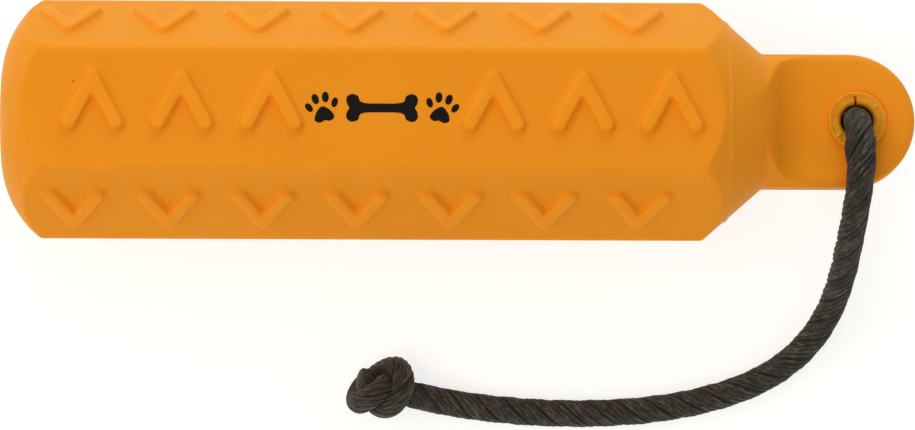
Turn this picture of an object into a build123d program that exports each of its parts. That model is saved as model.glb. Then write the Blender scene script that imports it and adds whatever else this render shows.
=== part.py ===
from build123d import *

import os
from math import atan, atan2, cos, hypot, pi, radians, sin, sqrt, tan

# Training bumper: a hollow hexagonal vinyl dummy with raised chevrons, a throw tab and a knotted rope.
# Millimetres. +X runs from the closed end to the throw tab and +Z is up. The origin is under the middle
# of the length, on the plane that the lowest chevrons stand on.

# Driving dimensions
length = 280.0
corner_radius = 37.3  # axis to a sharp corner of the hexagon
edge_round = 2.75  # along the six corners
wall = 3.0

end_disc_radius = 12.3  # flat middle of the closed end
dome_radius = 30.8  # from the end disc out to the corners
shoulder_start = 74.1  # where the cone meets the corners
cone_slope = 0.875  # fall of the radius per millimetre along X
steep_start = 85.0  # where the shoulder's top and bottom turn steeper than the cone
steep_end = 97.5  # where they start to curve back to the tab's faces
steep_end_height = 12.0  # above the bumper's axis
steep_wall = 1.3  # the steep stretch's wall along X, for each millimetre of wall
neck_radius = 20.3  # where the cone ends inside the tab's width
ridge_x = 81.9  # parting ridge on the cone
ridge_radius = 0.5

tab_width = 41.2
tab_thickness = 12.0
tab_edge_round = 2.6
tab_sink = 0.03  # how far the shoulder's curve ends below the tab's faces
tab_root = 80.0  # where the tab starts inside the shoulder
eyelet_x = 122.0

bore_radius = 5.0  # of the eyelet, around the rope
sleeve_radius = 6.2
flange_radius = 9.0
flange_height = 1.4
flange_round = 0.9
slit_width = 0.5
slit_end = 6.9  # distance of the slit's outer end from the eyelet's axis
slit_angle = 95.0  # from +X

chevron_height = 2.0
chevron_arm = 3.65  # width of an arm at its top
chevron_angle = 28.0  # between an arm and the direction across the facet
chevron_span = 19.8  # across the facet, from the sharp tip to the feet
chevron_draft = 27.0
chevron_tip_round = 1.4
chevron_foot_round = 1.7
chevron_root = 0.6  # depth that a chevron reaches into the wall

valve_hole_radius = 4.0
valve_flange_radius = 6.0
valve_flange = 1.2
valve_stem_radius = 3.0
valve_bulge_radius = 4.6
valve_bulge = 1.6
valve_length = 13.0
needle_radius = 0.9
needle_depth = 9.0

rope_diameter = 8.5
arc_share = 0.45  # of the shorter run beside a bend, taken by the bend's arc
knot_gap = 0.4  # between the stopper knot and the eyelet that it pulls against
knot_overlap = 1.2  # how far the rope's tube starts above the stopper knot's top
stopper_radius = 9.4
hand_knot_radius = 10.0
hand_knot_centre = (-24.4, -81.3, 8.2)
hand_tail_end = (-33.8, -77.5, 12.0)
stopper_tail_end = (124.0, 2.0, 3.6)
tail_radius = 3.7
stub_length = 9.0  # of the rope and tail stubs that reach into a knot

overshoot = 1.0  # of a cutting shape past what it cuts
close = 0.01  # places nearer to each other than this are the same

# Each facet of the hexagon: the angle of its normal from +Z towards +Y, the way its chevrons point
# across it, the offset of the sharp tips from the facet's middle, and the tips' places along X
top_pitch = 26.9
top_row = [first + step * top_pitch for first in (-111.1, 9.8) for step in range(3)]
side_pitch = 28.6
side_steps = [step * side_pitch for step in range(-3, 4)]
hidden_row = [step - 32.4 for step in side_steps]
facets = [
    (0, 1, 12.3, top_row),
    (60, -1, 10.4, [step - 33.0 for step in side_steps]),
    (120, 1, 11.0, hidden_row),
    (180, -1, 11.0, hidden_row),
    (240, 1, 11.0, hidden_row),
    (300, -1, 11.7, [step - 31.2 for step in side_steps]),
]

# Places worked out from the driving dimensions
half_length = length / 2
apothem = corner_radius * cos(radians(30))
axis_height = apothem + chevron_height
rope_radius = rope_diameter / 2
tab_top = axis_height + tab_thickness / 2
tab_bottom = axis_height - tab_thickness / 2
long_axis = Axis((0, 0, axis_height), (1, 0, 0))
side_plane = Plane(origin=(0, 0, axis_height), x_dir=(1, 0, 0), z_dir=(0, -1, 0))
eyelet_axis = Axis((eyelet_x, 0, 0), (0, 0, 1))
eyelet_section = Plane(origin=(eyelet_x, 0, 0), x_dir=(1, 0, 0), z_dir=(0, -1, 0))
stopper_top = tab_bottom - flange_height - knot_gap
rope_start = stopper_top + knot_overlap

# The rope's route: up through the eyelet, over the tab's edge, down to the table and along it
rope_route = [
    (122.0, 0.0, rope_start),
    (122.2, 0.2, 35.0),
    (122.0, 0.1, 43.0),
    (121.9, -6.2, 49.2),
    (121.8, -15.5, 48.5),
    (121.9, -26.0, 44.2),
    (121.2, -36.0, 34.5),
    (119.8, -46.0, 22.2),
    (116.6, -56.5, 11.6),
    (109.6, -67.4, 5.6),
    (98.4, -76.4, 4.4),
    (84.0, -82.4, 4.35),
    (66.0, -86.5, 4.35),
    (46.0, -88.4, 4.35),
    (26.0, -88.3, 4.35),
    (7.5, -86.5, 4.35),
    (-5.6, -84.3, 4.6),
    (-13.6, -82.6, 5.2),
]


def cross_section(x):
    """The YZ plane at x, with its origin on the bumper's axis."""
    return Plane(origin=(x, 0, axis_height), x_dir=(0, 1, 0), z_dir=(1, 0, 0))


def cone_radius(x):
    return corner_radius - cone_slope * (x - shoulder_start)


# The shoulder's steepest angle to the X axis, and where it has curved back to the tab's faces
steep_fall = cone_radius(steep_start) - steep_end_height
steep_angle = 2 * atan2(steep_fall, steep_end - steep_start) - atan(cone_slope)
foot_height = tab_thickness / 2 - tab_sink
foot_x = steep_end + (steep_end_height - foot_height) / tan(steep_angle / 2)


def hexagonal_hull(inset):
    """The hexagon with its domed end and its shoulder, each surface moved in by inset."""
    corner = corner_radius - inset / cos(radians(30))
    cone_shift = inset * hypot(1, cone_slope) / cone_slope
    start = -half_length + inset
    arc_radius = dome_radius - inset
    rim = corner_radius + overshoot
    rim_x = -half_length + dome_radius - sqrt(arc_radius**2 - (rim - end_disc_radius) ** 2)
    cone_x = shoulder_start - cone_shift - (rim - corner_radius) / cone_slope
    neck = neck_radius - inset
    neck_x = shoulder_start - cone_shift + (corner_radius - neck) / cone_slope
    shift = steep_wall * inset
    slope_start = (steep_start - shift, cone_radius(steep_start))
    slope_end = (steep_end - shift, steep_end_height)
    with BuildPart() as hull:
        with BuildSketch(cross_section(-half_length)):
            RegularPolygon(corner, 6)
        extrude(amount=length)
        fillet(hull.edges().filter_by(Axis.X), edge_round - inset / 2)
        # The domed end, the cone and the neck are turned
        with BuildSketch(side_plane):
            with BuildLine():
                Line((start, 0), (start, end_disc_radius))
                RadiusArc((start, end_disc_radius), (rim_x, rim), arc_radius)
                Polyline(
                    (rim_x, rim),
                    (cone_x, rim),
                    (neck_x, neck),
                    (foot_x + overshoot, neck),
                    (foot_x + overshoot, 0),
                    (start, 0),
                )
            make_face()
        revolve(axis=long_axis, mode=Mode.INTERSECT)
        # The top and bottom of the shoulder turn down steeply, and curve back outside to the tab's faces
        with BuildSketch(side_plane):
            with BuildLine():
                top = TangentArc(slope_start, slope_end, tangent=(1, -cone_slope))
                if inset:
                    fall = steep_end_height - foot_height
                    foot = Line(slope_end, (slope_end[0] + fall / tan(steep_angle), foot_height))
                else:
                    foot = TangentArc(slope_end, (foot_x, foot_height), tangent=(1, -tan(steep_angle)))
                mirror(top, about=Plane.XZ)
                mirror(foot, about=Plane.XZ)
                Line(foot @ 1, ((foot @ 1).X, -foot_height))
                Polyline(
                    slope_start,
                    (slope_start[0], half_length),
                    (start, half_length),
                    (start, -half_length),
                    (slope_start[0], -half_length),
                    (slope_start[0], -slope_start[1]),
                )
            make_face()
        extrude(amount=half_length, both=True, mode=Mode.INTERSECT)
    return hull.part


# One chevron, with its tip at the origin and its arms running towards -Y on a facet at Z = 0
arm_sine, arm_cosine = sin(radians(chevron_angle)), cos(radians(chevron_angle))
arm_length = (chevron_span - chevron_arm * arm_sine) / arm_cosine
foot_outer = (arm_length * arm_sine, -arm_length * arm_cosine)
foot_inner = (foot_outer[0] - chevron_arm * arm_cosine, foot_outer[1] - chevron_arm * arm_sine)
with BuildPart() as chevron:
    with BuildSketch(Plane.XY.offset(chevron_height)) as outline:
        with BuildLine():
            half = Polyline((0, 0), foot_outer, foot_inner, (0, -chevron_arm / arm_sine))
            mirror(half, about=Plane.YZ)
        make_face()
        feet = outline.vertices().filter_by(lambda v: abs(v.X) > chevron_arm)
        fillet(feet, chevron_foot_round)
        fillet(outline.vertices().sort_by(Axis.Y)[-1], chevron_tip_round)
    extrude(amount=-chevron_height - chevron_root, taper=-chevron_draft)

# The throw tab, with soft edges all round
tab_end_x = half_length - tab_width / 2
with BuildPart() as tab:
    with BuildSketch(Plane.XY.offset(tab_bottom)):
        with Locations((tab_end_x, 0)):
            Circle(tab_width / 2)
        with Locations(((tab_root + tab_end_x) / 2, 0)):
            Rectangle(tab_end_x - tab_root, tab_width)
    extrude(amount=tab_thickness)
    rims = tab.faces().filter_by(Axis.Z).edges()
    fillet(rims.filter_by(lambda edge: edge.center().X > tab_root + overshoot), tab_edge_round)

# The moulding: hull, tab, parting ridge and chevrons, hollowed to an even wall
with BuildPart() as body_shell:
    add(hexagonal_hull(0))
    add(tab.part)
    with BuildSketch(side_plane):
        with Locations((ridge_x, cone_radius(ridge_x))):
            Circle(ridge_radius)
    revolve(axis=long_axis)
    add(hexagonal_hull(wall), mode=Mode.SUBTRACT)
    for angle, way, tip, row in facets:
        normal = Vector(0, sin(radians(angle)), cos(radians(angle)))
        across = Vector(0, cos(radians(angle)), -sin(radians(angle)))
        for x in row:
            foot = Vector(x, 0, axis_height) + normal * apothem + across * way * tip
            facet = Plane(origin=foot, x_dir=(way, 0, 0), z_dir=normal)
            with Locations(facet.location):
                add(chevron.part)
    with BuildSketch(Plane.XY.offset(tab_bottom)):
        with Locations((eyelet_x, 0)):
            Circle(sleeve_radius)
    extrude(amount=tab_thickness, mode=Mode.SUBTRACT)
    with BuildSketch(cross_section(-half_length)):
        Circle(valve_flange_radius)
    extrude(amount=valve_flange, mode=Mode.SUBTRACT)
    with BuildSketch(cross_section(-half_length)):
        Circle(valve_hole_radius)
    extrude(amount=wall + overshoot, mode=Mode.SUBTRACT)

# The eyelet's front half: a flange with a rounded lip on a sleeve, split by a short slit
flange_top = tab_top + flange_height
sleeve_bottom = tab_bottom - flange_height
with BuildPart() as eyelet_front:
    with BuildSketch(eyelet_section) as front_section:
        with BuildLine():
            Polyline(
                (bore_radius, sleeve_bottom),
                (sleeve_radius, sleeve_bottom),
                (sleeve_radius, tab_top),
                (flange_radius, tab_top),
                (flange_radius, flange_top),
                (bore_radius, flange_top),
                (bore_radius, sleeve_bottom),
            )
        make_face()
        fillet(front_section.vertices().group_by(Axis.Y)[-1], flange_round)
    revolve(axis=eyelet_axis)
    slit_plane = Plane.XY.offset(sleeve_bottom).rotated((0, 0, slit_angle))
    slit_plane.origin = (eyelet_x, 0, sleeve_bottom)
    with BuildSketch(slit_plane):
        with Locations((slit_end / 2, 0)):
            Rectangle(slit_end, slit_width)
        with Locations((slit_end, 0)):
            Circle(slit_width)
    extrude(amount=flange_top - sleeve_bottom, mode=Mode.SUBTRACT)

with BuildPart() as eyelet_back:
    with BuildSketch(eyelet_section) as back_section:
        with BuildLine():
            Polyline(
                (sleeve_radius, sleeve_bottom),
                (flange_radius, sleeve_bottom),
                (flange_radius, tab_bottom),
                (sleeve_radius, tab_bottom),
                (sleeve_radius, sleeve_bottom),
            )
        make_face()
        fillet(back_section.vertices().group_by(Axis.Y)[0].sort_by(Axis.X)[-1], flange_round)
    revolve(axis=eyelet_axis)

# The soft needle valve, turned about the bumper's axis
valve_outer = -half_length
with BuildPart() as air_valve:
    with BuildSketch(side_plane) as valve_section:
        with BuildLine():
            Polyline(
                (valve_outer, 0),
                (valve_outer, valve_flange_radius),
                (valve_outer + valve_flange, valve_flange_radius),
                (valve_outer + valve_flange, valve_hole_radius),
                (valve_outer + wall, valve_hole_radius),
                (valve_outer + wall, valve_bulge_radius),
                (valve_outer + wall + valve_bulge, valve_bulge_radius),
                (valve_outer + wall + 2 * valve_bulge, valve_stem_radius),
                (valve_outer + valve_length, valve_stem_radius),
                (valve_outer + valve_length, 0),
                (valve_outer, 0),
            )
        make_face()
        stem_end = valve_section.vertices().filter_by(
            lambda vertex: abs(vertex.X - valve_outer - valve_length) < close
            and vertex.Z > axis_height + overshoot
        )
        fillet(stem_end, valve_stem_radius / 2)
    revolve(axis=long_axis)
    with BuildSketch(cross_section(valve_outer)):
        Circle(needle_radius)
    extrude(amount=needle_depth, mode=Mode.SUBTRACT)
    mouth = air_valve.edges().filter_by(GeomType.CIRCLE).sort_by(SortBy.RADIUS)
    mouth = mouth.filter_by(lambda edge: abs(edge.center().X - valve_outer) < close)
    chamfer(mouth[0], needle_radius / 2)

# The rope's free length: straight runs joined by arcs as large as the runs allow
route = [Vector(*point) for point in rope_route]
runs = [b - a for a, b in zip(route, route[1:])]
radii = []
rope_length = sum(run.length for run in runs)
for before, after in zip(runs, runs[1:]):
    half_turn = radians(before.get_angle(after)) / 2
    radius = arc_share * min(before.length, after.length) / tan(half_turn)
    radii.append(radius)
    rope_length += 2 * radius * (half_turn - tan(half_turn))
with BuildPart() as throw_rope:
    with BuildLine() as rope_line:
        FilletPolyline(*rope_route, radius=radii)
    with BuildSketch(Plane(origin=route[0], z_dir=runs[0])):
        Circle(rope_radius)
    sweep(path=rope_line.wires()[0])


def tied_knot(centre, radius, stubs):
    """A tight knot's shape: a ball with round stubs (end point, way in, radius) that reach into it."""
    with BuildPart() as knot:
        with Locations(centre):
            Sphere(radius)
        for end, way_in, stub_radius in stubs:
            with BuildSketch(Plane(origin=end, z_dir=way_in)):
                Circle(stub_radius)
            extrude(amount=stub_length)
        # What lies on the table is flat there
        split(bisect_by=Plane.XY, keep=Keep.TOP)
    return knot


stopper_centre = Vector(eyelet_x, 0, stopper_top - stopper_radius)
stopper_tail = Vector(*stopper_tail_end)
stopper_knot = tied_knot(
    stopper_centre,
    stopper_radius,
    [
        (route[0], runs[0] * -1, rope_radius),
        (stopper_tail, stopper_centre - stopper_tail, tail_radius),
    ],
)

hand_centre = Vector(*hand_knot_centre)
hand_tail = Vector(*hand_tail_end)
hand_knot = tied_knot(
    hand_centre,
    hand_knot_radius,
    [
        (route[-1], runs[-1], rope_radius),
        (hand_tail, hand_centre - hand_tail, tail_radius),
    ],
)

print("rope radii", [round(radius, 1) for radius in radii])
print("rope length", round(rope_length, 1))
print("rope volume", round(throw_rope.part.volume))
print("rope section times length", round(pi * rope_radius**2 * rope_length))

os.makedirs("parts", exist_ok=True)
for name, piece in {
    "body_shell": body_shell,
    "eyelet_front": eyelet_front,
    "eyelet_back": eyelet_back,
    "air_valve": air_valve,
    "throw_rope": throw_rope,
    "stopper_knot": stopper_knot,
    "hand_knot": hand_knot,
}.items():
    piece.part.label = name
    export_step(piece.part, f"parts/{name}.step")
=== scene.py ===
from math import cos, exp, hypot, pi, radians, sin

import bmesh
import bpy
import numpy as np
from mathutils import Matrix, Vector
from mathutils.bvhtree import BVHTree


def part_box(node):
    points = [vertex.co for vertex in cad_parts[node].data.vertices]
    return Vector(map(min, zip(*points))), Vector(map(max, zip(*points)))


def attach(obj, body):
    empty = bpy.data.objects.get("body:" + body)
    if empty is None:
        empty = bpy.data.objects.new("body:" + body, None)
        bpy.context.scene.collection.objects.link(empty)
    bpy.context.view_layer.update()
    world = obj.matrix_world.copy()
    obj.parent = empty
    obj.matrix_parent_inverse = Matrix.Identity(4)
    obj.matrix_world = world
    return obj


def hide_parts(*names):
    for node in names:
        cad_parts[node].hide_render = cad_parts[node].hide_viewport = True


# Training bumper: a soft hexagonal dummy with raised chevrons, and a knotted throw rope in its eyelet.
# Metres, in the CAD model's frame: +X runs from the closed end to the throw tab and +Z is up.
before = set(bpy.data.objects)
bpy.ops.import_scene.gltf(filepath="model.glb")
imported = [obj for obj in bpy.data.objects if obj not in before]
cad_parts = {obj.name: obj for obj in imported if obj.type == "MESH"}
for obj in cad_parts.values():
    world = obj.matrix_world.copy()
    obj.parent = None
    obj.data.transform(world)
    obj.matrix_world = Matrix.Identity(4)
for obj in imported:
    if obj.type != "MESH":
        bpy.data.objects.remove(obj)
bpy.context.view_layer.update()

mm = 0.001

camera_place = Vector((-0.03488, -0.20217, 1.67362))
camera_aim = Vector((0.00037, -0.0255, 0.0))
camera_up = Vector((-0.0018, 1.0, 0.0))
camera_lens = 211.5

# The rope's route: up through the eyelet, over the tab's edge, down to the table and along it
rope_route = [
    (0.1220, 0.0, 0.0255),
    (0.1220, 0.0, 0.0340),
    (0.1219, 0.0001, 0.0428),
    (0.1223, -0.0062, 0.0482),
    (0.1227, -0.0155, 0.0474),
    (0.1217, -0.0260, 0.0432),
    (0.1203, -0.0360, 0.0342),
    (0.1190, -0.0460, 0.0222),
    (0.1161, -0.0563, 0.0116),
    (0.1093, -0.0670, 0.0056),
    (0.0982, -0.0759, 0.0044),
    (0.0840, -0.0820, 0.00435),
    (0.0660, -0.0862, 0.00435),
    (0.0460, -0.0880, 0.00435),
    (0.0260, -0.0879, 0.00435),
    (0.0075, -0.0863, 0.0049),
    (-0.0060, -0.0843, 0.0071),
    (-0.0142, -0.0825, 0.0084),
]
rope_diameter = 0.0085
rope_lay = 0.0270  # length of one turn of the strands
filament_lay = 0.031  # length of one turn of the filaments on the surface
fold_place = 0.0280  # middle of the fold over the eyelet, along the route
fold_reach = 0.0062
fold_swell = 0.17  # how much thicker the rope is there
fold_grooves = 1.3  # how much deeper its grooves are there
yarns = 12
yarns_per_strand = 4
yarn_radius = 0.32  # shares of the rope's radius
yarn_place = 0.68
strand_groove = 0.085
ring_sides = 108
ring_gap = 0.00036  # between two rings of the rope's mesh

# The knots. A reach and a tail are kept lengths of the knot's line, on either side of its middle
knot_strand = 0.0064  # between the middles of strands that are pulled tight against each other
knot_squeeze = 0.76  # of a knot along the rope
tight_radius = 0.585  # of a strand in a knot, as a share of knot_strand
hand_knot_turn, hand_knot_reach, hand_knot_tail = 140.0, 0.0105, 0.0080
stopper_knot_turn, stopper_knot_reach, stopper_knot_tail = 40.0, 0.0085, 0.0125
end_flare = 0.18  # swelling of a cut end
flare_reach = 0.008
end_dome = 0.0014  # length of a cut end's rounding

# The eyelet. Its sections are (radius, height above the tab's face) points in millimetres
eyelet_centre = (0.122, -0.0002)
bore_radius = 5.0
sleeve_radius = 5.8
flange_radius = 9.0
flange_height = 1.4
eyelet_face = [
    (5.0, -0.9),
    (5.0, -0.4),
    (5.1, 0.2),
    (5.5, 0.8),
    (6.1, 1.12),
    (6.8, 1.12),
    (7.5, 1.08),
    (8.0, 1.22),
    (8.4, 1.39),
    (8.75, 1.25),
    (8.95, 0.85),
    (9.0, 0.4),
    (9.0, 0.0),
    (9.0, -0.4),
]
slit_width = 0.6
slit_end = 6.9
slit_angle = 95.0
boss_ring = 7.2  # radius of the ring of tiny bosses on the dish
bosses = 14
boss_size = 0.6
low_boss, high_boss = 0.12, 0.5  # heights

# The printed mark on the top facet: a bone between two paws, in millimetres
mark_middle = (-23.8, -0.2)
paw_shift = 18.0
mark_thickness = 0.05

# Places on the vinyl
body_axis_height = 0.0343
chevron_top = 0.0343  # distance of the chevrons' tops from the axis
corner_middle, corner_reach = -0.026, 0.104  # the stretch of X that the six corners run along
ridge_x = 0.0819  # of the parting ridge
speck_place = (-0.1167, 0.0075, 0.0666)


# Helpers


def add_object(name, data):
    made = bpy.data.objects.new(name, data)
    bpy.context.scene.collection.objects.link(made)
    return made


def mesh_object(name, vertices, faces):
    mesh = bpy.data.meshes.new(name)
    mesh.from_pydata([tuple(v) for v in vertices], [], faces)
    mesh.validate()
    mesh.shade_smooth()
    return add_object(name, mesh)


def evenly(points, gap):
    """The same line with its points about gap apart."""
    steps = np.linalg.norm(np.diff(points, axis=0), axis=1)
    along = np.concatenate([[0], np.cumsum(steps)])
    count = int(round(along[-1] / gap)) + 1
    places = np.linspace(0, along[-1], count)
    return np.stack([np.interp(places, along, points[:, axis]) for axis in range(3)], axis=1)


def lengths_along(line):
    return np.concatenate([[0], np.cumsum(np.linalg.norm(np.diff(line, axis=0), axis=1))])


def unit(vectors):
    return vectors / np.linalg.norm(vectors, axis=-1, keepdims=True)


# Camera


def make_camera():
    data = bpy.data.cameras.new("camera")
    data.lens = camera_lens
    data.clip_end = 10
    camera = add_object("camera", data)
    forward = (camera_aim - camera_place).normalized()
    right = forward.cross(camera_up).normalized()
    turn = Matrix((right, right.cross(forward), -forward)).transposed()
    camera.matrix_world = Matrix.Translation(camera_place) @ turn.to_4x4()
    bpy.context.scene.camera = camera


# Rope


def spline_line(points):
    """Points along the smooth spline that has these control points."""
    curve = bpy.data.curves.new("route", "CURVE")
    curve.dimensions = "3D"
    curve.resolution_u = 32
    spline = curve.splines.new("NURBS")
    spline.points.add(len(points) - 1)
    for control, place in zip(spline.points, points):
        control.co = (*place, 1)
    spline.order_u = 3
    spline.use_endpoint_u = True
    route = add_object("route", curve)
    bpy.context.view_layer.update()
    line = bpy.data.meshes.new_from_object(route)
    places = np.array([v.co for v in line.vertices], float)
    bpy.data.objects.remove(route)
    bpy.data.meshes.remove(line)
    return places


def tight_knot():
    """The line of a tight overhand knot in a strand 1 thick.

    It is pulled along X, with the standing part on +X.
    """
    gap = 1 / 7
    pull, bend, rounds, passes = 0.057, 0.12, 2000, 8
    t = np.linspace(-2.1, 2.1, 400)
    loop = 0.5 * np.stack([t**3 - 3 * t, t**4 - 4 * t**2, (t**5 - 10 * t) / 10], axis=1)
    loop[:, 1] -= loop[:, 1].mean()
    reach = np.linspace(1.5, 0.1, 20)[:, None] * np.array([1, 0, 0])
    line = evenly(np.concatenate([loop[0] - reach, loop, loop[-1] + reach[::-1]]), gap)
    first, second = np.triu_indices(len(line), 9)
    for _ in range(rounds):
        line[0, 0] -= pull
        line[-1, 0] += pull
        line[[0, -1], 1:] *= 0.98
        line[1:-1] += bend * (0.5 * (line[:-2] + line[2:]) - line[1:-1])
        for start in (0, 1) * passes:
            a = line[start:-1:2]
            b = line[start + 1 :: 2]
            run = b - a
            size = np.linalg.norm(run, axis=1, keepdims=True)
            push = 0.5 * (size - gap) / size * run
            a += push
            b -= push
        between = line[second] - line[first]
        apart = np.linalg.norm(between, axis=1)
        near = apart < 1
        push = between[near] * (0.25 * (1 - apart[near]) / apart[near])[:, None]
        np.add.at(line, first[near], -push)
        np.add.at(line, second[near], push)
    return line[::-1] * (knot_squeeze, 1, -1)


def place_knot(knot, start, away, turn, reach, tail):
    """The knot's line from its standing end at start, where the rope runs away, to its cut tail."""
    size = knot * knot_strand
    kept = size[(size[:, 0] < reach) & (size[:, 0] > -tail)]
    kept = kept - kept[0]
    side = away.cross(Vector((0, 0, 1)) if abs(away.z) < 0.9 else Vector((0, 1, 0))).normalized()
    axes = Matrix((away, side, away.cross(side))).transposed()
    axes = Matrix.Rotation(radians(turn), 3, away) @ axes
    return kept @ np.array(axes).T + np.array(start)


def transported(line):
    """Unit tangents of the line, and side vectors that turn no more than the line does."""
    tangents = unit(np.gradient(line, axis=0))
    sides = np.zeros_like(line)
    side = np.cross(tangents[0], (0.3, 1, 0.2))
    for i, tangent in enumerate(tangents):
        side = side - tangent * (side @ tangent)
        side /= np.linalg.norm(side)
        sides[i] = side
    return tangents, sides


def rope_profile():
    """Radius round a ring, 1 at most: yarns side by side, and a deeper groove between strands."""
    angles = np.linspace(0, 2 * pi, ring_sides, endpoint=False)
    half_yarn = pi / yarns
    offset = (angles % (2 * half_yarn)) - half_yarn
    across = yarn_place * np.sin(offset)
    radius = yarn_place * np.cos(offset) + np.sqrt(yarn_radius**2 - across**2)
    half_strand = half_yarn * yarns_per_strand
    from_middle = np.abs((angles % (2 * half_strand)) - half_strand) / half_strand
    return angles, radius * (1 - strand_groove * from_middle**4)


def strand_mesh(name, line, radii, first, last, sides, tangents, along, fold_middle):
    """A closed rope surface over the line's points from first to last."""
    angles, profile = rope_profile()
    span = slice(first, last + 1)
    place = 2 * pi * along[span, None]
    wander = np.sin(5 * angles + place / 0.0123) + np.sin(3 * angles - place / 0.0191)
    turn = place / rope_lay + angles + 0.035 * wander
    random = np.random.default_rng(5)
    drift = 0.0
    for wave in (0.011, 0.023, 0.047):
        phase = random.uniform(0, 2 * pi, yarns).repeat(ring_sides // yarns)
        drift = drift + np.sin(place / wave + phase)
    deepening = 1 + fold_grooves * np.exp(-(((along[span, None] - fold_middle) / fold_reach) ** 2))
    size = radii[span, None] * profile**deepening * (1 + 0.007 * drift)
    across = np.cross(tangents[span], sides[span])
    ring = np.cos(turn)[..., None] * sides[span, None] + np.sin(turn)[..., None] * across[:, None]
    points = line[span, None] + size[..., None] * ring
    count = last - first + 1
    vertices = points.reshape(-1, 3)
    faces = []
    for i in range(count - 1):
        a, b = i * ring_sides, (i + 1) * ring_sides
        for j in range(ring_sides):
            k = (j + 1) % ring_sides
            faces.append((a + j, a + k, b + k, b + j))
    faces.append(tuple(range(ring_sides))[::-1])
    faces.append(tuple((count - 1) * ring_sides + j for j in range(ring_sides)))
    made = mesh_object(name, vertices, faces)
    filament = angles + place * (1 / rope_lay - 1 / filament_lay)
    fibre = np.stack([np.cos(filament), np.sin(filament), 0 * filament], axis=-1)
    fibre *= rope_diameter / 2
    fibre[..., 2] = along[span, None]
    attribute = made.data.attributes.new("fibre", "FLOAT_VECTOR", "POINT")
    attribute.data.foreach_set("vector", fibre.reshape(-1).astype(np.float32))
    groove = np.broadcast_to((1 - profile) / (1 - profile.min()), size.shape)
    attribute = made.data.attributes.new("groove", "FLOAT", "POINT")
    attribute.data.foreach_set("value", groove.reshape(-1).astype(np.float32))
    return made


def make_rope():
    route = evenly(spline_line(rope_route), ring_gap)
    knot = tight_knot()
    start_away = Vector(route[1] - route[0]).normalized()
    end_away = Vector(route[-2] - route[-1]).normalized()
    stopper = place_knot(
        knot, route[0], start_away, stopper_knot_turn, stopper_knot_reach, stopper_knot_tail
    )
    hand = place_knot(knot, route[-1], end_away, hand_knot_turn, hand_knot_reach, hand_knot_tail)
    stopper, hand = evenly(stopper, ring_gap), evenly(hand, ring_gap)
    line = np.concatenate([stopper[:0:-1], route, hand[1:]])
    for _ in range(12):
        line[1:-1] = 0.25 * (line[:-2] + line[2:]) + 0.5 * line[1:-1]
    along = lengths_along(line)
    route_start, route_end = len(stopper) - 1, len(stopper) + len(route) - 2
    tangents, sides = transported(line)
    full, tight = rope_diameter / 2, tight_radius * knot_strand
    into_knot = np.maximum(along[route_start] - along, along - along[route_end])
    share = np.clip((into_knot + 0.004) / 0.009, 0, 1)
    radii = full + (tight - full) * share**2 * (3 - 2 * share)
    from_end = np.minimum(along, along[-1] - along)
    radii = radii * (1 + end_flare * np.clip(1 - from_end / flare_reach, 0, 1))
    rounding = np.clip(1 - from_end / end_dome, 0, 1)
    radii = radii * np.sqrt(1 - 0.8 * rounding**2)
    fold_middle = along[route_start] + fold_place
    fold = np.exp(-(((along - fold_middle) / fold_reach) ** 2))
    radii = radii * (1 + fold_swell * fold)
    pieces = {}
    for name, first, last in (
        ("stopper_overhand_knot", 0, route_start),
        ("throw_rope_strands", route_start, route_end),
        ("hand_overhand_knot", route_end, len(line) - 1),
    ):
        pieces[name] = strand_mesh(
            name, line, radii, first, last, sides, tangents, along, fold_middle
        )
    return pieces, line[route_start : route_end + 1]


# Eyelet


def arc(centre, radius, start, end, steps=12):
    """Points along a circle's arc between two angles in degrees."""
    angles = np.radians(np.linspace(start, end, steps))
    return [(centre[0] + radius * cos(a), centre[1] + radius * sin(a)) for a in angles]


def turned(name, section, face_height, segments=288):
    """A ring turned about the eyelet's axis from a closed section, at a face of the tab."""
    angles = np.linspace(0, 2 * pi, segments, endpoint=False)
    radius, height = np.array(section).T * mm
    x = eyelet_centre[0] + np.outer(np.cos(angles), radius)
    y = eyelet_centre[1] + np.outer(np.sin(angles), radius)
    z = face_height + np.broadcast_to(height, x.shape)
    count = len(section)
    faces = []
    for i in range(segments):
        for j in range(count):
            a, b = i * count + j, i * count + (j + 1) % count
            c = (i + 1) % segments * count
            faces.append((a, c + j, c + (j + 1) % count, b))
    return mesh_object(name, np.stack([x, y, z], axis=-1).reshape(-1, 3), faces)


def face_line():
    """From the bore over the lip, the dished middle and the raised rim to the flange's edge."""
    points = np.array(eyelet_face, float)
    steps = np.linspace(0, 1, 8, endpoint=False)[:, None]
    line = []
    for before, a, b, after in zip(points, points[1:], points[2:], points[3:]):
        square = (2 * before - 5 * a + 4 * b - after) * steps**2
        cube = (3 * a - before - 3 * b + after) * steps**3
        line.append(a + 0.5 * ((b - before) * steps + (square + cube)))
    return [tuple(point) for point in np.concatenate(line)]


def raise_bosses(ring, face_height):
    """Lift tiny round bosses on the dish, the highest two on opposite sides."""
    random = np.random.default_rng(3)
    places = []
    for i in range(bosses):
        angle = 2 * pi * (i + 0.4) / bosses + random.uniform(-0.05, 0.05)
        height = high_boss if i in (1, 8) else low_boss * random.uniform(0.6, 1.3)
        places.append((angle, height))
    for vertex in ring.data.vertices:
        x = vertex.co.x - eyelet_centre[0]
        y = vertex.co.y - eyelet_centre[1]
        if vertex.co.z < face_height + 0.9 * mm:
            continue
        for angle, height in places:
            away = hypot(x - boss_ring * mm * cos(angle), y - boss_ring * mm * sin(angle))
            vertex.co.z += height * mm * exp(-((away / (boss_size * mm)) ** 2))


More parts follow.
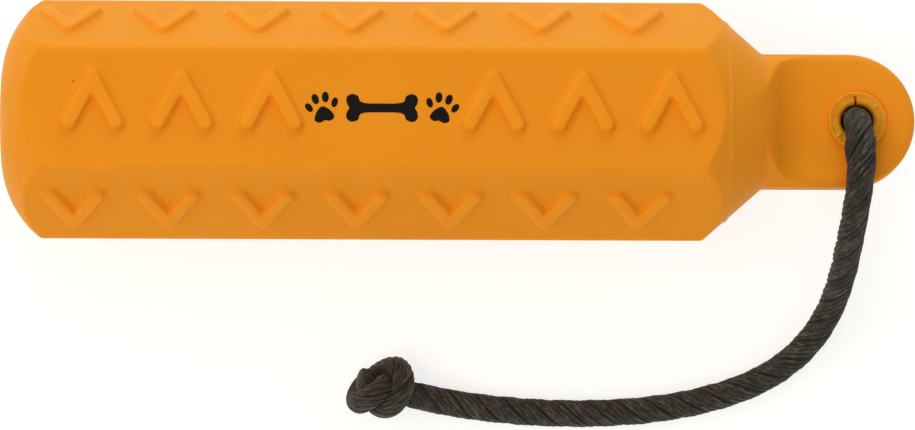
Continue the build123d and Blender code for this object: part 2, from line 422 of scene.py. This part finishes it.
def cut_slit(ring, low, high):
    """Cut a slit through the ring from its bore, ending in a round relief."""
    half = slit_width / 2
    outline = [(bore_radius - 1, -half), (slit_end - 0.6, -half)]
    outline += arc((slit_end, 0), slit_width, -150, 150)
    outline += [(slit_end - 0.6, half), (bore_radius - 1, half)]
    turn = radians(slit_angle)
    points = []
    for height in (low - mm, high + mm):
        for x, y in outline:
            across = eyelet_centre[0] + (x * cos(turn) - y * sin(turn)) * mm
            along = eyelet_centre[1] + (x * sin(turn) + y * cos(turn)) * mm
            points.append((across, along, height))
    cutter = prism("slit_cutter", points)
    cut = ring.modifiers.new("slit", "BOOLEAN")
    cut.object = cutter
    cut.solver = "EXACT"
    apply_modifiers(ring)
    bpy.data.objects.remove(cutter)


def prism(name, points):
    """A closed solid. Its bottom outline is the first half of the points, its top the rest."""
    count = len(points) // 2
    faces = [tuple(range(count))[::-1], tuple(range(count, 2 * count))]
    faces += [(i, (i + 1) % count, count + (i + 1) % count, count + i) for i in range(count)]
    return mesh_object(name, points, faces)


def make_eyelet():
    low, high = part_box("eyelet_front")
    face = high.z - flange_height * mm
    sleeve_end = (low.z - face) / mm
    upper = face_line()
    bore = [(bore_radius, height) for height in np.linspace(sleeve_end, upper[0][1], 20)[:-1]]
    underside = [(flange_radius, 0), (sleeve_radius, 0), (sleeve_radius, sleeve_end)]
    front = turned("eyelet_front_ring", bore + upper + underside, face)
    raise_bosses(front, face)
    cut_slit(front, low.z, high.z)
    back_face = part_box("eyelet_back")[1].z
    lower = [(radius, -height) for radius, height in upper if radius > sleeve_radius]
    inside = [(sleeve_radius + 0.02, lower[0][1]), (sleeve_radius + 0.02, 0), (flange_radius, 0)]
    back = turned("eyelet_back_ring", (lower + inside[::-1])[::-1], back_face)
    for ring in (front, back):
        ring.data.set_sharp_from_angle(angle=radians(50))
    return front, back


# Printed mark


def smooth_outline(points, steps=8):
    """A closed smooth line through the points."""
    points = np.array(points, float)
    before, after, beyond = (np.roll(points, shift, axis=0) for shift in (1, -1, -2))
    line = []
    for t in np.linspace(0, 1, steps, endpoint=False):
        a = 2 * points + (after - before) * t
        b = (2 * before - 5 * points + 4 * after - beyond) * t**2
        c = (3 * points - before - 3 * after + beyond) * t**3
        line.append(0.5 * (a + b + c))
    return np.stack(line, axis=1).reshape(-1, 2)


def oval(middle, wide, high, tilt, steps=28):
    angles = np.linspace(0, 2 * pi, steps, endpoint=False)
    x, y = wide * np.cos(angles), high * np.sin(angles)
    turn = radians(tilt)
    turned_x = middle[0] + x * cos(turn) - y * sin(turn)
    turned_y = middle[1] + x * sin(turn) + y * cos(turn)
    return np.stack([turned_x, turned_y], axis=1)


def paw_outlines():
    right = [(2.1, -1.1), (3.0, -3.3), (1.6, -4.3)]
    left = [(-x, y) for x, y in right[::-1]]
    pad = smooth_outline([(0, 0.4), *right, (0, -3.9), *left])
    toes = [oval((side * 1.55, 3.0), 1.05, 1.6, side * -8) for side in (-1, 1)]
    toes += [oval((side * 3.95, 0.85), 0.95, 1.5, side * -28) for side in (-1, 1)]
    return [pad, *toes]


def bone_outline():
    shaft = [(0, 1.35), (4.5, 1.4), (6.6, 2.0)]
    quarter = shaft + [(7.3, 3.6), (9.3, 4.2), (10.7, 3.1), (10.6, 1.3), (9.9, 0)]
    right = quarter + [(x, -y) for x, y in quarter[-2::-1]]
    left = [(-x, y) for x, y in right[-2:0:-1]]
    return smooth_outline(right + left)


def make_mark(skin):
    """Thin ink shapes that follow the skin under them."""
    tree = BVHTree.FromObject(skin, bpy.context.evaluated_depsgraph_get())
    outlines = [bone_outline()]
    for side, tilt in ((-1, 12), (1, -12)):
        turn = radians(tilt)
        for outline in paw_outlines():
            turned_outline = outline @ np.array([[cos(turn), sin(turn)], [-sin(turn), cos(turn)]])
            outlines.append(turned_outline + (side * paw_shift, 0))
    ink = bmesh.new()
    for outline in outlines:
        rims = []
        for rise in (-mark_thickness, mark_thickness):
            rim = []
            for x, y in outline:
                place = Vector(((mark_middle[0] + x) * mm, (mark_middle[1] + y) * mm, 0.2))
                hit = tree.ray_cast(place, Vector((0, 0, -1)))[0]
                rim.append(ink.verts.new(hit + Vector((0, 0, rise * mm))))
            rims.append(rim)
        bottom, top = rims
        ink.faces.new(bottom[::-1])
        ink.faces.new(top)
        for i in range(len(bottom)):
            j = (i + 1) % len(bottom)
            ink.faces.new((bottom[i], bottom[j], top[j], top[i]))
    bmesh.ops.recalc_face_normals(ink, faces=ink.faces)
    bmesh.ops.triangulate(ink, faces=ink.faces)
    mesh = bpy.data.meshes.new("printed_bone_and_paws")
    ink.to_mesh(mesh)
    ink.free()
    return add_object("printed_bone_and_paws", mesh)


# Materials


def new_material(name):
    material = bpy.data.materials.new(name)
    material.use_nodes = True
    return material, material.node_tree, material.node_tree.nodes["Principled BSDF"]


def node(tree, kind, inputs=None, **settings):
    """A node with these settings. An input is a number, a colour or another node's output."""
    made = tree.nodes.new(kind)
    for name, value in settings.items():
        setattr(made, name, value)
    for name, value in (inputs or {}).items():
        connect(tree, made, name, value)
    return made


def connect(tree, made, name, value):
    if isinstance(value, bpy.types.NodeSocket):
        tree.links.new(value, made.inputs[name])
    else:
        made.inputs[name].default_value = value


def noise(tree, vector, scale, detail=2.0, roughness=0.5):
    inputs = {"Vector": vector, "Scale": scale, "Detail": detail, "Roughness": roughness}
    return node(tree, "ShaderNodeTexNoise", inputs).outputs["Fac"]


def ramp(tree, value, stops):
    """Colours along a value, from (place, colour) stops."""
    made = node(tree, "ShaderNodeValToRGB", {"Fac": value})
    elements = made.color_ramp.elements
    while len(elements) < len(stops):
        elements.new(0.5)
    for element, (place, colour) in zip(elements, stops):
        element.position = place
        element.color = (*colour, 1)
    return made.outputs["Color"]


def between(tree, value, low, high, new_low, new_high):
    inputs = {"Value": value, "From Min": low, "From Max": high}
    inputs |= {"To Min": new_low, "To Max": new_high}
    return node(tree, "ShaderNodeMapRange", inputs).outputs["Result"]


def bump(tree, height, distance, strength=1.0, normal=None):
    inputs = {"Height": height, "Distance": distance, "Strength": strength}
    if normal is not None:
        inputs["Normal"] = normal
    return node(tree, "ShaderNodeBump", inputs).outputs["Normal"]


def arithmetic(tree, operation, first, second=0.0, third=0.0):
    made = node(tree, "ShaderNodeMath", operation=operation)
    for socket, value in zip(made.inputs, (first, second, third)):
        if isinstance(value, bpy.types.NodeSocket):
            tree.links.new(value, socket)
        else:
            socket.default_value = value
    return made.outputs["Value"]


def mixed(tree, share, first, second):
    """One colour, going over to the second by share."""
    made = node(tree, "ShaderNodeMix", data_type="RGBA")
    sockets = (made.inputs[0], made.inputs[6], made.inputs[7])
    for socket, value in zip(sockets, (share, first, second)):
        if isinstance(value, bpy.types.NodeSocket):
            tree.links.new(value, socket)
        else:
            socket.default_value = value
    return made.outputs[2]


def body_zones(tree, place):
    """1 along the body's six corners and 1 on the chevrons' tops, where a highlight is painted, and
    the distance along X.
    """
    split = node(tree, "ShaderNodeSeparateXYZ", {"Vector": place}).outputs
    height = arithmetic(tree, "SUBTRACT", split["Z"], body_axis_height)
    angle = arithmetic(tree, "ARCTAN2", split["Y"], height)
    from_middle = arithmetic(tree, "PINGPONG", angle, pi / 6)
    from_corner = arithmetic(tree, "SUBTRACT", pi / 6, from_middle)
    corner = between(tree, from_corner, 0.012, 0.062, 1, 0)
    along = arithmetic(tree, "ABSOLUTE", arithmetic(tree, "SUBTRACT", split["X"], corner_middle))
    inside = between(tree, along, corner_reach - 0.006, corner_reach, 1, 0)
    corner = arithmetic(tree, "MULTIPLY", corner, inside)
    across = arithmetic(tree, "MULTIPLY", split["Y"], split["Y"])
    from_axis = arithmetic(tree, "SQRT", arithmetic(tree, "MULTIPLY_ADD", height, height, across))
    above = arithmetic(tree, "MULTIPLY", from_axis, arithmetic(tree, "COSINE", from_middle))
    raised = between(tree, above, chevron_top - 0.0009, chevron_top - 0.0001, 0, 1)
    return corner, raised, split["X"]


def vinyl_colour(tree, place):
    """Faint clouds, a painted highlight on the corners and chevron tops, pale flecks on the ridge, one
    dark speck, and painted shade with reddened bounce light in the hollows.
    """
    clouds = noise(tree, place, 26, 4, 0.6)
    colour = ramp(tree, clouds, [(0.3, (0.762, 0.280, 0.0150)), (0.7, (0.792, 0.295, 0.0172))])
    corner, raised, x = body_zones(tree, place)
    # Painted highlight: the six corners and the chevron tops are lightened in patches, standing in for
    # light catching the rounded edges and raised tops.
    crest = arithmetic(tree, "MAXIMUM", corner, arithmetic(tree, "MULTIPLY", raised, 0.7))
    patches = between(tree, noise(tree, place, 160, 3), 0.3, 0.7, 0.25, 0.75)
    painted_highlight = arithmetic(tree, "MULTIPLY", crest, patches)
    colour = mixed(tree, painted_highlight, colour, (0.86, 0.315, 0.016, 1))
    from_ridge = arithmetic(tree, "ABSOLUTE", arithmetic(tree, "SUBTRACT", x, ridge_x))
    on_ridge = between(tree, from_ridge, 0.0003, 0.0007, 1, 0)
    flecks = between(tree, noise(tree, place, 330, 2), 0.6, 0.7, 0.06, 0.4)
    flecks = arithmetic(tree, "MULTIPLY", flecks, on_ridge)
    colour = mixed(tree, flecks, colour, (0.88, 0.42, 0.10, 1))
    away = node(tree, "ShaderNodeVectorMath", {0: place, 1: speck_place}, operation="DISTANCE")
    speck = between(tree, away.outputs["Value"], 0.0002, 0.00045, 0.75, 0)
    colour = mixed(tree, speck, colour, (0.12, 0.05, 0.01, 1))
    # Painted shade and reddened bounce light: recesses found by ambient occlusion are turned a deeper,
    # redder orange.
    openness = node(tree, "ShaderNodeAmbientOcclusion", {"Distance": 0.0055}, samples=6)
    painted_hollow_shade = between(tree, openness.outputs["AO"], 0.5, 0.94, 0.85, 0)
    return mixed(tree, painted_hollow_shade, colour, (0.94, 0.232, 0.0040, 1))


def vinyl_material():
    material, tree, shader = new_material("orange_vinyl")
    place = node(tree, "ShaderNodeTexCoord").outputs["Object"]
    connect(tree, shader, "Base Color", vinyl_colour(tree, place))
    grain = noise(tree, place, 1800, 3, 0.6)
    peel = noise(tree, place, 240, 2)
    waves = noise(tree, place, 32, 1)
    normal = bump(tree, waves, 0.0006, 0.35)
    normal = bump(tree, peel, 0.00012, 0.5, normal)
    normal = bump(tree, grain, 0.00002, 0.6, normal)
    connect(tree, shader, "Normal", normal)
    gloss = noise(tree, place, 45, 3)
    connect(tree, shader, "Roughness", between(tree, gloss, 0.3, 0.7, 0.42, 0.52))
    shader.inputs["Subsurface Weight"].default_value = 0.25
    shader.inputs["Subsurface Radius"].default_value = (1.0, 0.35, 0.06)
    shader.inputs["Subsurface Scale"].default_value = 0.0025
    shader.inputs["Specular IOR Level"].default_value = 0.04
    return material


def eyelet_material():
    material, tree, shader = new_material("amber_plastic")
    place = node(tree, "ShaderNodeTexCoord").outputs["Object"]
    clouds = noise(tree, place, 420, 3)
    colour = ramp(tree, clouds, [(0.3, (0.72, 0.278, 0.0095)), (0.7, (0.80, 0.320, 0.0135))])
    connect(tree, shader, "Base Color", colour)
    connect(tree, shader, "Normal", bump(tree, noise(tree, place, 900, 2), 0.00003, 0.5))
    gloss = noise(tree, place, 300, 2)
    connect(tree, shader, "Roughness", between(tree, gloss, 0.3, 0.7, 0.24, 0.36))
    shader.inputs["Subsurface Weight"].default_value = 0.8
    shader.inputs["Subsurface Radius"].default_value = (1.0, 0.45, 0.08)
    shader.inputs["Subsurface Scale"].default_value = 0.004
    shader.inputs["Specular IOR Level"].default_value = 0.18
    return material


def rubber_material():
    material, tree, shader = new_material("valve_rubber")
    place = node(tree, "ShaderNodeTexCoord").outputs["Object"]
    clouds = noise(tree, place, 400, 3)
    colour = ramp(tree, clouds, [(0.3, (0.27, 0.075, 0.008)), (0.7, (0.33, 0.095, 0.012))])
    connect(tree, shader, "Base Color", colour)
    connect(tree, shader, "Normal", bump(tree, noise(tree, place, 2600, 3), 0.00003, 0.6))
    gloss = noise(tree, place, 700, 2)
    connect(tree, shader, "Roughness", between(tree, gloss, 0.3, 0.7, 0.55, 0.7))
    shader.inputs["Specular IOR Level"].default_value = 0.3
    return material


def ink_material():
    material, tree, shader = new_material("black_ink")
    place = node(tree, "ShaderNodeTexCoord").outputs["Object"]
    clouds = noise(tree, place, 900, 3)
    colour = ramp(tree, clouds, [(0.3, (0.003, 0.003, 0.003)), (0.7, (0.008, 0.007, 0.007))])
    connect(tree, shader, "Base Color", colour)
    connect(tree, shader, "Normal", bump(tree, noise(tree, place, 2200, 2), 0.00001, 0.5))
    gloss = noise(tree, place, 500, 2)
    connect(tree, shader, "Roughness", between(tree, gloss, 0.3, 0.7, 0.4, 0.6))
    shader.inputs["Specular IOR Level"].default_value = 0.1
    return material


def rope_material():
    material, tree, shader = new_material("charcoal_rope_fibre")
    fibre = node(tree, "ShaderNodeAttribute", attribute_name="fibre").outputs["Vector"]
    fine = node(tree, "ShaderNodeMapping", {"Vector": fibre, "Scale": (2600, 2600, 620)})
    coarse = node(tree, "ShaderNodeMapping", {"Vector": fibre, "Scale": (900, 900, 340)})
    filaments = noise(tree, fine.outputs["Vector"], 1.0, 3, 0.65)
    bundles = noise(tree, coarse.outputs["Vector"], 1.0, 2, 0.5)
    bundles = arithmetic(tree, "MULTIPLY", bundles, 0.4)
    both = arithmetic(tree, "MULTIPLY_ADD", filaments, 0.6, bundles)
    colour = ramp(
        tree,
        both,
        [
            (0.36, (0.0095, 0.0082, 0.0075)),
            (0.5, (0.025, 0.0225, 0.0205)),
            (0.63, (0.100, 0.092, 0.085)),
        ],
    )
    # Painted shade: the grooves between yarns and strands are darkened toward near-black.
    groove = node(tree, "ShaderNodeAttribute", attribute_name="groove").outputs["Fac"]
    painted_groove_shade = between(tree, groove, 0.2, 0.75, 0, 0.85)
    colour = mixed(tree, painted_groove_shade, colour, (0.0050, 0.0040, 0.0034, 1))
    connect(tree, shader, "Base Color", colour)
    connect(tree, shader, "Normal", bump(tree, both, 0.0003, 0.9))
    connect(tree, shader, "Roughness", between(tree, filaments, 0.3, 0.7, 0.75, 0.5))
    shader.inputs["Specular IOR Level"].default_value = 0.3
    shader.inputs["Sheen Weight"].default_value = 0.04
    shader.inputs["Sheen Roughness"].default_value = 0.5
    return material


def floor_material():
    material, tree, shader = new_material("pale_floor")
    place = node(tree, "ShaderNodeTexCoord").outputs["Object"]
    clouds = noise(tree, place, 3, 2)
    colour = ramp(tree, clouds, [(0.3, (0.39, 0.39, 0.39)), (0.7, (0.41, 0.41, 0.41))])
    connect(tree, shader, "Base Color", colour)
    shader.inputs["Roughness"].default_value = 0.8
    shader.inputs["Specular IOR Level"].default_value = 0.1
    shader.inputs["Emission Color"].default_value = (0.95, 0.98, 1, 1)
    shader.inputs["Emission Strength"].default_value = 0.73
    return material


def dress(piece, material):
    piece.data.materials.clear()
    piece.data.materials.append(material)


# Shell


def outer_skin():
    """The CAD shell's outer surface, closed where its valve hole was."""
    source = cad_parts["body_shell"]
    solid = bmesh.new()
    solid.from_mesh(source.data)
    bmesh.ops.remove_doubles(solid, verts=solid.verts, dist=1e-6)
    low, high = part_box("air_valve")
    axis_y, axis_z = (low.y + high.y) / 2, (low.z + high.z) / 2
    seat = (high.y - low.y) / 2
    seat_depth = 3.2 * mm
    hole = []
    for face in solid.faces:
        centre = face.calc_center_median()
        from_axis = hypot(centre.y - axis_y, centre.z - axis_z)
        if centre.x < low.x + seat_depth and from_axis < 0.9 * seat:
            hole.append(face)
    bmesh.ops.delete(solid, geom=hole, context="FACES")
    start = max(solid.verts, key=lambda vertex: vertex.co.x)
    reached, waiting = {start}, [start]
    while waiting:
        vertex = waiting.pop()
        for link in vertex.link_edges:
            other = link.other_vert(vertex)
            if other not in reached:
                reached.add(other)
                waiting.append(other)
    bmesh.ops.delete(solid, geom=[v for v in solid.verts if v not in reached], context="VERTS")
    bmesh.ops.holes_fill(solid, edges=[e for e in solid.edges if e.is_boundary], sides=0)
    mesh = bpy.data.meshes.new("hexagonal_vinyl_shell")
    solid.to_mesh(mesh)
    solid.free()
    return add_object("hexagonal_vinyl_shell", mesh)


def apply_modifiers(piece):
    bpy.context.view_layer.update()
    shown = piece.evaluated_get(bpy.context.evaluated_depsgraph_get())
    mesh = bpy.data.meshes.new_from_object(shown)
    piece.modifiers.clear()
    piece.data = mesh


def make_shell():
    shell = outer_skin()
    remesh = shell.modifiers.new("even", "REMESH")
    remesh.mode = "VOXEL"
    remesh.voxel_size = 0.5 * mm
    smooth = shell.modifiers.new("soften", "SMOOTH")
    smooth.iterations = 8
    smooth.factor = 0.5
    apply_modifiers(shell)
    count = sum(len(face.vertices) - 2 for face in shell.data.polygons)
    lighter = shell.modifiers.new("lighter", "DECIMATE")
    lighter.ratio = min(1, 190000 / count)
    apply_modifiers(shell)
    shell.data.shade_smooth()
    return shell


# Stage and light


def make_stage():
    size = 3.0
    corners = [(-size, -size, 0), (size, -size, 0), (size, size, 0), (-size, size, 0)]
    floor = mesh_object("floor", corners, [(0, 1, 2, 3)])
    dress(floor, floor_material())
    world = bpy.data.worlds.new("studio")
    world.use_nodes = True
    background = world.node_tree.nodes["Background"]
    background.inputs["Color"].default_value = (1, 0.93, 0.84, 1)
    background.inputs["Strength"].default_value = 0.6
    bpy.context.scene.world = world
    for name, turn, rise, power, colour in (
        ("back_light", 90, 25, 7.7, (1, 1.03, 0.95)),
        ("left_light", 180, 45, 3.6, (1, 0.92, 0.7)),
        ("front_light", 232, 62, 5.2, (1, 0.82, 0.55)),
    ):
        data = bpy.data.lights.new(name, "AREA")
        data.shape = "DISK"
        data.size = 0.9
        data.energy = power
        data.color = colour
        turn, rise = radians(turn), radians(rise)
        light = add_object(name, data)
        light.location = 1.5 * Vector((cos(turn) * cos(rise), sin(turn) * cos(rise), sin(rise)))
        light.rotation_euler = (-light.location).to_track_quat("-Z", "Y").to_euler()
    bpy.context.scene.view_settings.view_transform = "Standard"


make_camera()
rope_pieces, rope_path = make_rope()
fibre_material = rope_material()
for piece in rope_pieces.values():
    dress(piece, fibre_material)
    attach(piece, "rope")
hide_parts("throw_rope")
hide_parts("stopper_knot")
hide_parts("hand_knot")

shell = make_shell()
mark = make_mark(shell)
dress(shell, vinyl_material())
dress(mark, ink_material())
for piece in (shell, mark):
    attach(piece, "bumper")
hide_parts("body_shell")

amber = eyelet_material()
for ring, node_name in zip(make_eyelet(), ("eyelet_front", "eyelet_back")):
    dress(ring, amber)
    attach(ring, "bumper")
    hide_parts(node_name)
dress(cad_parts["air_valve"], rubber_material())

make_stage()
